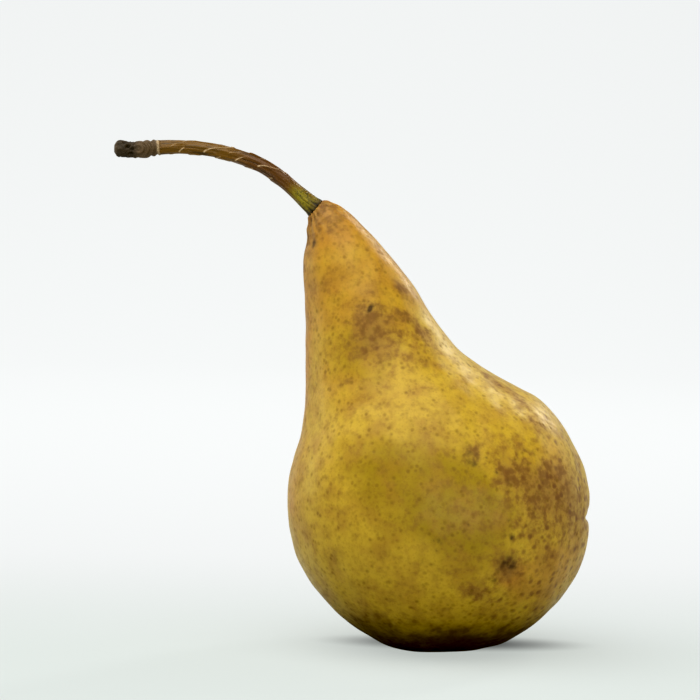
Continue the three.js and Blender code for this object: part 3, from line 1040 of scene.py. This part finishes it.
@dataclass(frozen=True)
class StemFinish:
    """Colours and gloss of the stem.

    Attributes:
        ochre: The ground colour.
        red: The redder brown of its middle.
        moss: The yellow-green stretch near the foot.
        dark: The foot, the knob and the bottoms of the wrinkles.
        bark: The dry sleeve round the end.
        pale: The lifted edges of the flakes and the lip of the sleeve.
        roughness: Of the glossy middle.
        streak_size: The noise of the lengthwise streaks, in metres, as all sizes here.
        broad_size: The noise of the wide patches.
        speck_size: The noise of the specks.
        relief: The height of the finest relief.
    """

    ochre: Colour = (0.155, 0.077, 0.004)
    red: Colour = (0.105, 0.041, 0.004)
    moss: Colour = (0.26, 0.215, 0.016)
    # dark: The foot, the knob, and painted shade in the bottoms of the wrinkles.
    dark: Colour = (0.026, 0.019, 0.009)
    bark: Colour = (0.105, 0.072, 0.038)
    pale: Colour = (0.60, 0.46, 0.27)
    roughness: float = 0.34
    streak_size: float = 0.0006
    broad_size: float = 0.0017
    speck_size: float = 0.0006
    relief: float = 0.00014

    def dress(self, piece: bpy.types.Object) -> None:
        """Build the stem's material and give it to the stem.

        Colours follow the place along the stem. Streaks run lengthwise, because the grain field is
        squeezed along the stem, and the lifted edges of its flakes are pale.

        Args:
            piece: The stem.
        """
        shader = Shader("pear_stem")
        grain = shader.attribute("grain", vector=True)
        where = shader.coords()
        along = shader.attribute("along")
        hollow = shader.attribute("hollow")
        streak = shader.noise(grain, self.streak_size, 3.0, 0.6)
        broad = shader.noise(grain, self.broad_size, 2.0)
        speck = shader.noise(where, self.speck_size, 3.0, 0.65)
        red = along.ease(0.14, 0.24) * along.ease(0.52, 0.36)
        moss = along.ease(0.02, 0.07) * along.ease(0.20, 0.13)
        foot = (along + (speck - 0.5) * 0.04).ease(0.075, 0.035)
        sleeve = (along + (speck - 0.5) * 0.03).ease(0.795, 0.815)
        knob = (along + (speck - 0.5) * 0.05).ease(0.885, 0.925)
        colour = shader.blend(red * 0.85, self.ochre, self.red)
        colour = shader.blend(moss * (broad + speck * 0.6).ease(0.62, 0.95) * 0.95, colour, self.moss)
        colour = shader.blend(streak.ease(0.50, 0.70) * 0.60, colour, self.dark)
        colour = shader.blend(moss * speck.ease(0.52, 0.62) * 0.6, colour, self.dark)
        flakes = shader.attribute("flake") * (speck + streak).ease(0.60, 0.95)
        colour = shader.blend(flakes * 0.85, colour, self.pale)
        colour = shader.blend(sleeve * (0.65 + broad * 0.4), colour, self.bark)
        lip = along.ease(0.800, 0.806) * along.ease(0.817, 0.809)
        colour = shader.blend(lip * speck.ease(0.3, 0.55) * 0.55, colour, self.pale)
        # Painted shade in the bottoms of the wrinkles
        colour = shader.blend(hollow.ease(0.25, 0.95) * 0.85, colour, self.dark)
        colour = shader.blend((foot * 0.80).larger(knob * (1.25 - speck)), colour, self.dark)
        colour = shader.blend(along.ease(0.983, 0.995) * 0.7, colour, self.bark)
        height = streak * 0.6 + speck * 0.2 + flakes * 0.2
        shader.dress(
            piece,
            Base_Color=colour,
            Roughness=(speck - 0.5) * 0.3 + sleeve * 0.3 + foot * 0.2 + flakes * 0.2 + self.roughness,
            Normal=shader.bump(height, self.relief),
            Specular_IOR_Level=0.38,
        )


@dataclass
class Stem:
    """The stem: round sections along an arched path, with ridges, flakes, a dry sleeve and a knob.

    A station is X, Y and Z in millimetres and the radius there, as in the solid. Starts along the stem
    are shares of its length.
    """

    stations: tuple[tuple[float, float, float, float], ...] = (
        (-30.5, 0.0, 100.4, 1.1),
        (-31.3, 0.0, 101.1, 1.2),
        (-31.9, 0.0, 101.7, 2.35),
        (-33.0, 0.0, 102.6, 2.25),
        (-36.4, 0.1, 105.4, 1.85),
        (-40.1, 0.4, 108.4, 1.75),
        (-44.9, 0.9, 111.4, 1.7),
        (-50.2, 1.4, 113.3, 1.65),
        (-55.8, 1.8, 114.6, 1.6),
        (-61.6, 2.0, 115.2, 1.6),
        (-67.2, 2.0, 115.2, 1.65),
        (-70.2, 1.9, 114.9, 1.8),
        (-72.8, 1.8, 114.5, 1.95),
        (-75.2, 1.7, 114.4, 1.8),
        (-77.2, 1.6, 114.6, 1.9),
        (-78.5, 1.5, 114.6, 1.7),
        (-79.1, 1.5, 114.6, 0.9),
    )
    row_count: int = 640
    sides: int = 92
    ridge_depth: float = 0.13
    crack_depth: float = 0.16
    foot_fold_depth: float = 0.34
    foot_length: float = 4.5
    sleeve_start: float = 0.803
    sleeve_depth: float = 0.36
    lip_height: float = 0.16
    knob_start: float = 0.895
    crumble_height: float = 0.34
    crumble_length: float = 1.7
    crumble_waves: int = 14
    crumble_seed: int = 8
    flake_height: float = 0.19
    flake_twist: float = 1.4
    grain_squeeze: float = 0.12

    def path(self) -> tuple[np.ndarray, np.ndarray, np.ndarray]:
        """The path: a spline through the stations.

        Returns:
            Its points, its radii and the length up to each row.
        """
        known = np.array(self.stations)[:, None, :]
        rows = spline_rows(known, even_places(known, self.row_count))[:, 0]
        line, radius = rows[:, :3], rows[:, 3]
        length = np.concatenate([[0], np.cumsum(np.linalg.norm(np.diff(line, axis=0), axis=1))])
        return line, radius, length

    def ridges(self, angle: np.ndarray, length: np.ndarray) -> np.ndarray:
        """Height of the lengthwise ridges: waves round the stem whose phase drifts slowly along it.

        Cracks are the sharp crests of one more such wave, and are broken along the stem.

        Args:
            angle: The way round the stem.
            length: The distance along it.

        Returns:
            The height over the plain stem.
        """
        drift = 0.5 * np.sin(length / 6.0) + length / 9.0
        waves = (
            np.cos(5 * angle + drift)
            + 0.6 * np.cos(9 * angle - 1.4 * drift + 0.8 * np.sin(length / 3.7))
            + 0.45 * np.cos(14 * angle + 2.1 * drift + np.sin(length / 2.1))
        )
        cracks = np.maximum(0, np.cos(7 * angle + 1.7 * drift + 1.5 * np.sin(length / 4.3))) ** 10
        broken = smoothstep(-0.2, 0.6, np.sin(length / 2.6 + 2 * np.cos(angle)))
        return self.ridge_depth * (waves / 2 - 0.6) - self.crack_depth * cracks * broken

    def flakes(self, angle: np.ndarray, length: np.ndarray, share: np.ndarray) -> tuple[np.ndarray, ...]:
        """Skin that lifts in oblique strokes: a saw-tooth wave wound round the stem, broken along it.

        Args:
            angle: The way round the stem.
            length: The distance along it.
            share: The same as a share of its whole length.

        Returns:
            The height over the plain stem, and how close each point is to a lifted edge.
        """
        phase = 4 * angle + self.flake_twist * length
        phase = phase + 0.9 * np.sin(length / 2.3 + angle) + 0.7 * np.sin(3 * angle)
        tooth = np.mod(phase / TURN, 1.0)
        rise = smoothstep(0.0, 0.90, tooth) * smoothstep(1.0, 0.93, tooth)
        strokes = smoothstep(-0.3, 0.4, np.sin(length * 0.9 + 2.0 * np.cos(2 * angle) + 0.4))
        shown = strokes * smoothstep(0.17, 0.30, share) * smoothstep(0.80, 0.70, share)
        edge = np.exp(-(((tooth - 0.91) / 0.035) ** 2))
        return self.flake_height * rise * shown, edge * shown

    def foot_folds(self, angle: np.ndarray, length: np.ndarray) -> np.ndarray:
        """Folds at the foot: two waves round it, deepest at the flesh and faded over the foot's length.

        Args:
            angle: The way round the stem.
            length: The distance along it.

        Returns:
            The height over the plain stem.
        """
        fade = np.exp(-((length / self.foot_length) ** 2))
        wave = np.cos(8 * angle + 0.7 * np.sin(2 * angle)) + 0.4 * np.cos(13 * angle + length)
        return self.foot_fold_depth * fade * (wave - 1.0) / 2

    def sleeve(self, angle: np.ndarray, length: np.ndarray, share: np.ndarray) -> np.ndarray:
        """The dry sleeve at the end: its lip, folds nested round its middle, then a crumbly knob.

        Args:
            angle: The way round the stem.
            length: The distance along it.
            share: The same as a share of its whole length.

        Returns:
            The height over the plain stem.
        """
        askew = share + 0.010 * np.sin(angle + 2.4)
        sleeve = smoothstep(self.sleeve_start, self.sleeve_start + 0.010, askew)
        knob = smoothstep(self.knob_start, self.knob_start + 0.02, askew)
        arc = np.sqrt(((share - self.knob_start) * 22) ** 2 + 1.3 * (1 - np.cos(angle - 1.7)) + 0.05)
        folds = np.cos(TURN * 2.1 * arc + 0.6 * np.sin(3 * angle))
        whole = np.ones_like(share * angle)
        around = np.stack([2 * np.cos(angle) * whole, 2 * np.sin(angle) * whole, length * whole], -1)
        crumbs = 0.35 - np.abs(ripples(around, self.crumble_length, self.crumble_waves, self.crumble_seed))
        lip = self.lip_height - self.sleeve_depth * (1 - folds) / 2
        return sleeve * (1 - knob) * lip + knob * self.crumble_height * crumbs

    def surface(self) -> Skin:
        """The stem's skin: round sections with their ridges, flakes, folds and sleeve.

        Returns:
            The skin, with fields for its place along the stem, its hollows for painted shade, its lifted
            edges
            and its grain: the place in the section, with the length squeezed.
        """
        line, radius, length = self.path()
        share = (length / length[-1])[:, None]
        angle = TURN * np.arange(self.sides)[None, :] / self.sides
        along = length[:, None]
        lifted, edge = self.flakes(angle, along, share)
        bare = 1 - smoothstep(self.sleeve_start - 0.01, self.sleeve_start, share)
        relief = lifted + self.ridges(angle, along) * bare
        relief = relief + self.foot_folds(angle, along) + self.sleeve(angle, along, share)
        sunk = smoothstep(0.015, 0.028, share)
        radii = radius[:, None] + relief * sunk * smoothstep(1.0, 0.985, share)
        _, across, deep = path_frames(line)
        rows = (
            line[:, None]
            + across[:, None] * (radii * np.cos(angle))[..., None]
            + deep[:, None] * (radii * np.sin(angle))[..., None]
        )
        low, high = (np.array(corner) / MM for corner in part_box("stem"))
        rows = np.clip(rows, low, high)
        whole = np.ones_like(angle)
        grain = np.stack(
            [radii * np.cos(angle), radii * np.sin(angle), along * self.grain_squeeze * whole], -1
        )
        # How deep a point lies in a wrinkle, for painted shade
        hollow = np.clip(-relief * 2.2, 0, 1)
        values = {"along": share * whole, "hollow": hollow, "flake": edge, "grain": grain * MM}
        return Skin(rows, values)

    def build(self) -> bpy.types.Object:
        """Make the stem, dress it and put it in the place of its solid."""
        piece = mesh_from_skins("pear_stem", [self.surface()])
        StemFinish().dress(piece)
        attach(piece, "root")
        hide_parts("stem")
        return piece


@dataclass(frozen=True)
class CalyxFinish:
    """Colours of the dried calyx.

    Attributes:
        brown: The ground colour.
        dark: Its folds.
        pale: Dry edges.
        roughness: Of all of it.
        fibre_size: The fine noise, in metres.
        patch_size: The noise of its patches, in metres.
        relief: The height of the finest relief, in metres.
    """

    brown: Colour = (0.085, 0.048, 0.022)
    dark: Colour = (0.018, 0.012, 0.008)
    pale: Colour = (0.26, 0.18, 0.10)
    roughness: float = 0.82
    fibre_size: float = 0.0007
    patch_size: float = 0.0022
    relief: float = 0.00025

    def dress(self, piece: bpy.types.Object) -> None:
        """Build the calyx's material: brown with dark folds and pale dry edges where the noise is high.

        Args:
            piece: The calyx.
        """
        shader = Shader("pear_calyx")
        where = shader.coords()
        fibre = shader.noise(where, self.fibre_size, 4.0, 0.65)
        patch = shader.noise(where, self.patch_size, 2.0)
        edge = shader.attribute("edge")
        colour = shader.blend(patch.ease(0.35, 0.65), self.dark, self.brown)
        colour = shader.blend((edge * 0.8 + (fibre - 0.5)).ease(0.35, 0.95) * 0.7, colour, self.pale)
        shader.dress(
            piece,
            Base_Color=colour,
            Roughness=(fibre - 0.5) * 0.2 + self.roughness,
            Normal=shader.bump(fibre, self.relief),
        )


@dataclass
class Calyx:
    """The dried calyx: sepals round a small cup, with withered threads in its middle.

    Sizes are in millimetres, as in the solid. Its own axis is +Z until it is placed in the basin.
    """

    fruit: Fruit
    sepal_count: int = 5
    sepal_length: float = 5.2
    sepal_half_width: float = 1.5
    sepal_half_thickness: float = 0.30
    radius: float = 2.4
    thickness: float = 1.1
    gap: float = 0.35
    thread_count: int = 16
    thread_length: float = 2.2
    thread_radius: float = 0.13
    seed: int = 5

    def placed(self, points: np.ndarray) -> np.ndarray:
        """Points moved from the calyx's own axis to the turned axis of the basin.

        Args:
            points: Points shaped (..., 3).

        Returns:
            The points in their place on the fruit.
        """
        floor_x = self.fruit.basin_section[0][0] + self.gap
        x, y, z = points[..., 0], points[..., 1], points[..., 2]
        upright = np.stack([z + floor_x, y, self.fruit.basin_height - x], -1)
        return turned(upright, self.fruit.blossom_turn)

    def blade(
        self, line: np.ndarray, half_width: np.ndarray, half_thickness: np.ndarray, sides: int
    ) -> np.ndarray:
        """Oval sections along a path in the XZ plane: width along Y, thickness square to both.

        Args:
            line: Points of the path, shaped (row, 3).
            half_width: Half the width of each row.
            half_thickness: Half the thickness of each row.
            sides: How many points a section has.

        Returns:
            Points shaped (row, side, 3).
        """
        tangent = np.gradient(line, axis=0)
        tangent /= np.linalg.norm(tangent, axis=1, keepdims=True)
        outward = np.stack([tangent[:, 2], np.zeros(len(line)), -tangent[:, 0]], -1)
        angle = -TURN * np.arange(sides) / sides
        wide = np.array([0.0, 1.0, 0.0]) * (half_width[:, None] * np.cos(angle))[..., None]
        thick = outward[:, None] * (half_thickness[:, None] * np.sin(angle))[..., None]
        return line[:, None] + wide + thick

    def sepal(self, index: int, random: np.random.Generator) -> Skin:
        """One sepal: it rises, curls out, narrows to its point and is cupped and crinkled across.

        Its path is a quadratic curve. Its width falls with the square of the share of its length.

        Args:
            index: Which sepal it is, in turn round the cup.
            random: The calyx's own random numbers.

        Returns:
            The sepal in its place, with a field for its dry edges.
        """
        share = np.linspace(0, 1, 44)
        reach = self.sepal_length * random.uniform(0.90, 1.0)
        start = np.array([self.radius * 0.6, 0, self.thickness * 0.4])
        bend = np.array([self.radius, 0, self.sepal_length * 0.6])
        end = np.array([self.radius + reach * 0.5, 0, self.sepal_length * random.uniform(0.55, 0.7)])
        s = share[:, None]
        line = (1 - s) ** 2 * start + 2 * s * (1 - s) * bend + s**2 * end
        half_width = self.sepal_half_width * (1 - share**2) + 0.12
        half_thickness = self.sepal_half_thickness * (1 - 0.6 * share)
        points = self.blade(line, half_width, half_thickness, 24)
        crinkle = 0.10 * np.sin(5.5 * points[..., 1] + 4 * share[:, None]) * share[:, None]
        points[..., 2] += crinkle + 0.10 * points[..., 1] ** 2
        edge = np.abs(points[..., 1]) / (half_width[:, None] + 0.1) * 0.7 + 0.4 * share[:, None]
        points = turned(points, TURN * index / self.sepal_count)
        return Skin(self.placed(points), {"edge": edge})

    def cup(self) -> Skin:
        """The cup: a turned profile with a hollow top, gently ridged.

        Returns:
            The cup in its place, with the same field as the sepals.
        """
        profile = np.array([
            (0.3, 0.0), (0.8, 0.0), (0.95, 0.1), (1.0, 0.4), (1.0, 0.9), (0.9, 1.15),
            (0.75, 1.15), (0.6, 0.9), (0.4, 0.75), (0.15, 0.7),
        ]) * (self.radius, self.thickness)
        places = np.linspace(0, len(profile) - 1, 60)
        smooth = spline_rows(profile[:, None, :], places)[:, 0]
        angle = TURN * np.arange(60) / 60
        radius = smooth[:, :1] * (1 + 0.03 * np.cos(10 * angle))
        points = np.stack(
            [radius * np.cos(angle), radius * np.sin(angle), smooth[:, 1:] * np.ones_like(angle)], -1
        )
        return Skin(self.placed(points), {"edge": np.zeros(points.shape[:2])})

    def thread(self, random: np.random.Generator) -> Skin:
        """One withered thread: a thin taper that leans out from the middle of the cup.

        Args:
            random: The calyx's own random numbers.

        Returns:
            The thread in its place, with the same field as the sepals.
        """
        turn = random.uniform(0, TURN)
        lean = random.uniform(0.1, 0.7)
        share = np.linspace(0, 1, 10)
        length = self.thread_length * random.uniform(0.6, 1.0)
        x = random.uniform(0.2, 0.9) + length * lean * share**1.5
        z = self.thickness * 0.5 + length * share * (1 - 0.25 * lean * share)
        line = np.stack([x, np.zeros_like(x), z], -1)
        radius = self.thread_radius * (1 - 0.5 * share) + 0.06 * (share > 0.85)
        points = turned(self.blade(line, radius, radius, 8), turn)
        return Skin(self.placed(points), {"edge": 0.6 * share[:, None] * np.ones((1, 8))})

    def build(self) -> bpy.types.Object:
        """Make the calyx, dress it and put it in the place of its solid."""
        random = np.random.default_rng(self.seed)
        skins = [self.cup()]
        skins += [self.sepal(index, random) for index in range(self.sepal_count)]
        skins += [self.thread(random) for _ in range(self.thread_count)]
        piece = mesh_from_skins("pear_calyx", skins)
        CalyxFinish().dress(piece)
        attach(piece, "root")
        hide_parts("calyx")
        return piece


@dataclass(frozen=True)
class Softbox:
    """A rectangular studio light.

    Attributes:
        name: Its name.
        place: Where it stands, in metres.
        size: Its width and height, in metres.
        power: Its power in watts.
    """

    name: str
    place: tuple[float, float, float]
    size: tuple[float, float]
    power: float

    def build(self, aim: Vector) -> None:
        """Make the light and turn it to look at a point.

        Args:
            aim: The point, in metres.
        """
        light = bpy.data.lights.new(self.name, "AREA")
        light.shape = "RECTANGLE"
        light.size, light.size_y = self.size
        light.energy = self.power
        holder = bpy.data.objects.new(self.name, light)
        holder.visible_camera = False
        holder.location = self.place
        holder.rotation_euler = (aim - Vector(self.place)).to_track_quat("-Z", "Y").to_euler()
        bpy.context.scene.collection.objects.link(holder)


@dataclass
class Studio:
    """A white sweep, soft lights and the camera. Sizes and places are in metres."""

    # The sweep: a round floor, a bend and a low wall
    floor_radius: float = 0.95
    bend_radius: float = 0.30
    height: float = 0.55
    sides: int = 96
    # Tones take the light, and glows stand for the light that a large bright room throws back
    floor_tone: Colour = (0.17, 0.180, 0.178)
    floor_glow: Colour = (0.54, 0.57, 0.545)
    no_glow: Colour = (0.0, 0.0, 0.0)
    # The contact shade is an oval round its middle, squeezed across the pear
    contact_middle: tuple[float, float, float] = (0.003, 0.006, 0.0)
    contact_squeeze: tuple[float, float, float] = (1.0, 2.6, 1.0)
    contact_radius: float = 0.004
    contact_fade: float = 0.036
    # Within this wider round the floor's glow is only seen by the camera and doesn't light the pear
    shade_radius: float = 0.018
    shade_fade: float = 0.065
    # The wall's glow in front eases over along Y, and behind it falls with the distance from a point
    wall_tone: Colour = (0.05, 0.05, 0.05)
    wall_foot: float = 0.1
    front_glow: Colour = (0.60, 0.61, 0.61)
    turn_start: float = -0.9
    turn_full: float = 0.5
    wall_glow: Colour = (0.915, 0.930, 0.928)
    glow_start: float = -0.04
    glow_full: float = 0.17
    glow_middle: tuple[float, float, float] = (-0.02, 0.75, 0.08)
    glow_reach: float = 2.2
    # The surround, and the picture's tones
    surround_colour: Colour = (0.95, 1.0, 0.98)
    surround_strength: float = 0.10
    black_level: float = 0.020
    gamma: float = 0.80
    # The camera, and the pixel at which the origin shows in a picture of this size
    lens: float = 150.0
    distance: float = 0.683
    elevation: float = math.radians(3.5)
    roll: float = math.radians(1.3)
    sensor: float = 36.0
    picture_size: float = 700.0
    rest_pixel: tuple[float, float] = (443.0, 646.5)
    clip: tuple[float, float] = (0.01, 10.0)
    # The lights, and the point that they face
    aim: tuple[float, float, float] = (-0.02, 0.0, 0.055)
    lights: tuple[Softbox, ...] = (
        Softbox("top", (-0.20, -0.19, 0.75), (1.3, 1.0), 13.2),
        Softbox("front", (0.25, -0.80, 0.12), (0.9, 0.20), 2.3),
        Softbox("left", (-0.75, 0.30, 0.30), (0.3, 0.6), 1.2),
        Softbox("right", (0.75, 0.30, 0.30), (0.3, 0.6), 1.2),
        Softbox("strip", (0.42, 0.53, 0.51), (0.08, 0.40), 1.8),
    )

    def sweep(self) -> bpy.types.Object:
        """The sweep: a round floor that curves up into a low wall, as one profile turned about Z.

        Returns:
            The sweep, dressed.
        """
        turn = np.linspace(0, math.pi / 2, 20)
        bend = np.stack(
            [self.floor_radius + self.bend_radius * np.sin(turn), self.bend_radius * (1 - np.cos(turn))], -1
        )
        flat = np.stack([np.linspace(0.1, 0.9, 9) * self.floor_radius, np.zeros(9)], -1)
        profile = np.concatenate([flat, bend, [[bend[-1, 0], self.height]]])
        angle = TURN * np.arange(self.sides) / self.sides
        reach, rise = profile[:, :1], profile[:, 1:] * np.ones_like(angle)
        rows = np.stack([reach * np.cos(angle), reach * np.sin(angle), rise], -1)
        number = np.arange(rows.shape[0] * self.sides).reshape(-1, self.sides)
        beside = np.roll(number, -1, axis=1)
        quads = np.stack([number[:-1], number[1:], beside[1:], beside[:-1]], -1).reshape(-1, 4)
        mesh = bpy.data.meshes.new("studio_sweep")
        mesh.from_pydata(rows.reshape(-1, 3).tolist(), [], quads.tolist() + [number[0].tolist()])
        mesh.polygons.foreach_set("use_smooth", np.ones(len(quads) + 1, bool))
        sweep = bpy.data.objects.new("studio_sweep", mesh)
        bpy.context.scene.collection.objects.link(sweep)
        self.dress_sweep(sweep)
        return sweep

    def dress_sweep(self, sweep: bpy.types.Object) -> None:
        """Build the sweep's material: one tone and glow in front, another behind, eased along Y.

        In front, the floor's glow gives way to the contact shade. Behind, the glow is 1 less the square
        of the distance from its middle, as a share of its reach.

        Args:
            sweep: The sweep.
        """
        shader = Shader("studio_white")
        where = shader.coords()
        depth = shader.node("ShaderNodeSeparateXYZ", None, {"Vector": where}, "Y")
        height = shader.node("ShaderNodeSeparateXYZ", None, {"Vector": where}, "Z")
        behind = depth.ease(self.glow_start, self.glow_full)
        near = 1 - (shader.distance(where, self.glow_middle) / self.glow_reach) ** 2
        squeezed = shader.node(
            "ShaderNodeVectorMath", {"operation": "MULTIPLY"}, {0: where, 1: self.contact_squeeze}, "Vector"
        )
        middle = tuple(a * b for a, b in zip(self.contact_middle, self.contact_squeeze))
        clear = shader.distance(squeezed, middle).ease(self.contact_radius, self.contact_fade)
        seen = shader.node("ShaderNodeLightPath", out="Is Camera Ray")
        away = shader.distance(where, (0.0, 0.0, 0.0)).ease(self.shade_radius, self.shade_fade)
        floor = shader.blend(clear * away.larger(seen), self.no_glow, self.floor_glow)
        wall = shader.blend(depth.ease(self.turn_start, self.turn_full), self.front_glow, self.wall_glow)
        front = shader.blend(height.ease(0.0, self.wall_foot), floor, wall)
        back = shader.blend(near, self.no_glow, self.wall_glow)
        shader.dress(
            sweep,
            Base_Color=shader.blend(behind, self.floor_tone, self.wall_tone),
            Roughness=1.0,
            Specular_IOR_Level=0.0,
            Emission_Color=shader.blend(behind, front, back),
            Emission_Strength=1.0,
        )

    def surround(self) -> None:
        """An even pale surround."""
        world = bpy.data.worlds.new("studio_world")
        world.use_nodes = True
        background = world.node_tree.nodes["Background"]
        background.inputs["Color"].default_value = (*self.surround_colour, 1.0)
        background.inputs["Strength"].default_value = self.surround_strength
        bpy.context.scene.world = world

    def tones(self) -> None:
        """How light turns into the picture's tones: deeper middle tones, with the lowest taken to black."""
        view = bpy.context.scene.view_settings
        view.view_transform = "Standard"
        view.gamma = self.gamma
        view.use_curve_mapping = True
        view.curve_mapping.black_level = (self.black_level,) * 3

    def camera(self) -> bpy.types.Object:
        """The camera: a long lens a little above the table, placed so the origin shows at its pixel.

        Returns:
            The camera, set as the scene's own.
        """
        back = np.array([0, -math.cos(self.elevation), math.sin(self.elevation)])
        level = np.array([1.0, 0, 0])
        upright = np.cross(back, level)
        cosine, sine = math.cos(self.roll), math.sin(self.roll)
        right = cosine * level + sine * upright
        up = cosine * upright - sine * level
        focal = self.picture_size * self.lens / self.sensor
        half = self.picture_size / 2
        off_right = (self.rest_pixel[0] - half) / focal * self.distance
        off_up = (half - self.rest_pixel[1]) / focal * self.distance
        place = back * self.distance - right * off_right - up * off_up
        data = bpy.data.cameras.new("camera")
        data.lens, data.sensor_width = self.lens, self.sensor
        data.clip_start, data.clip_end = self.clip
        camera = bpy.data.objects.new("camera", data)
        bpy.context.scene.collection.objects.link(camera)
        camera.matrix_world = Matrix(
            [(right[row], up[row], back[row], place[row]) for row in range(3)] + [(0, 0, 0, 1)]
        )
        bpy.context.scene.camera = camera
        return camera

    def build(self) -> None:
        """Make the camera, the sweep, the surround, the tones and the lights."""
        self.camera()
        self.sweep()
        self.surround()
        self.tones()
        for light in self.lights:
            light.build(Vector(self.aim))


def main() -> None:
    """Build the studio and the pear, and report each piece."""
    logging.basicConfig(level=logging.INFO, format="%(name)s: %(message)s")
    Studio().build()
    fruit = Fruit()
    for piece in (fruit.build(), Stem().build(), Calyx(fruit).build()):
        LOG.info("%s: %d faces", piece.name, len(piece.data.polygons))


if __name__ == "__main__":
    main()
